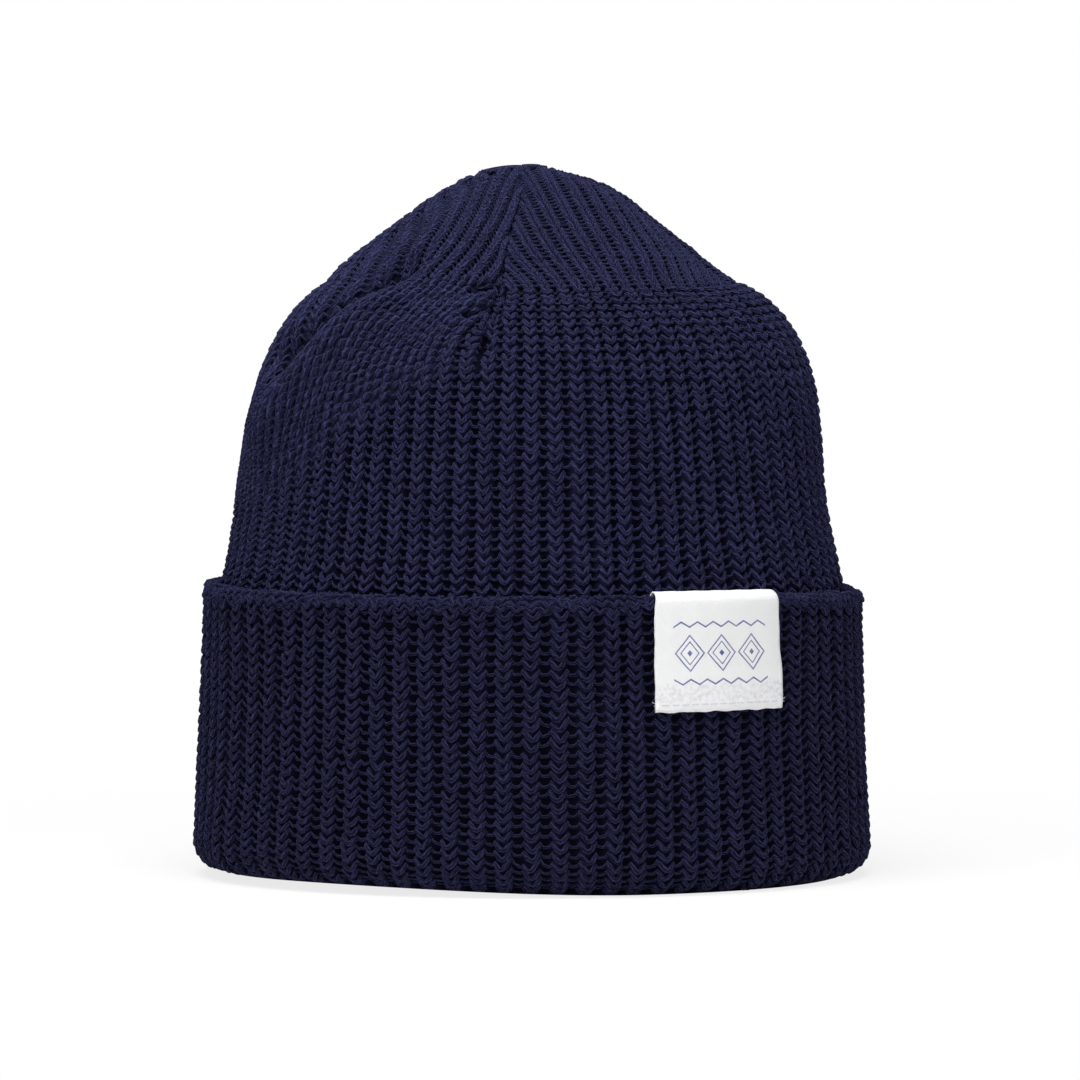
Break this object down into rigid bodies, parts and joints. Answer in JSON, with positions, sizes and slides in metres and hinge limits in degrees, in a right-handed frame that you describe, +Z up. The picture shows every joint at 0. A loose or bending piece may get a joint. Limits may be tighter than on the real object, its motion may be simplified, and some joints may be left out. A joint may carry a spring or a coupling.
{
  "type": "knit beanie",
  "caption": "Navy ribbed knit beanie with a turned-up cuff, a crown of gores closed by linked seams, and a white woven label folded over the cuff's edge.",
  "frame": {"origin": "middle of the head opening, on the surface that the hat stands on", "axes": "+Z up to the peak, -Y the front that the picture shows, +X the wearer's left, where the label is"},
  "size_m": [0.2016, 0.165, 0.211],
  "materials": {
    "navy_yarn": "soft navy rib knit, matt and slightly fuzzy",
    "navy_seam": "linked navy yarn ridge",
    "white_cotton": "fine white woven tape",
    "white_thread": "white sewing thread"
  },
  "bodies": {
    "hat": {"body_panel": "navy_yarn", "crown_gore_front_right": "navy_yarn", "crown_gore_back_right": "navy_yarn", "crown_gore_back_left": "navy_yarn", "crown_gore_front_left": "navy_yarn", "crown_seam_front": "navy_seam", "crown_seam_right": "navy_seam", "crown_seam_back": "navy_seam", "crown_seam_left": "navy_seam", "back_seam": "navy_seam", "crown_tie": "navy_seam"},
    "cuff": {"cuff_panel": "navy_yarn", "cuff_seam": "navy_seam", "label": "white_cotton", "label_needle_thread": "white_thread", "label_bobbin_thread": "white_thread"}
  },
  "joints": [
    {"name": "cuff_turn_down", "type": "slide", "parent": "hat", "child": "cuff", "axis": [0, 0, -1], "range_m": [0, 0.083]}
  ]
}
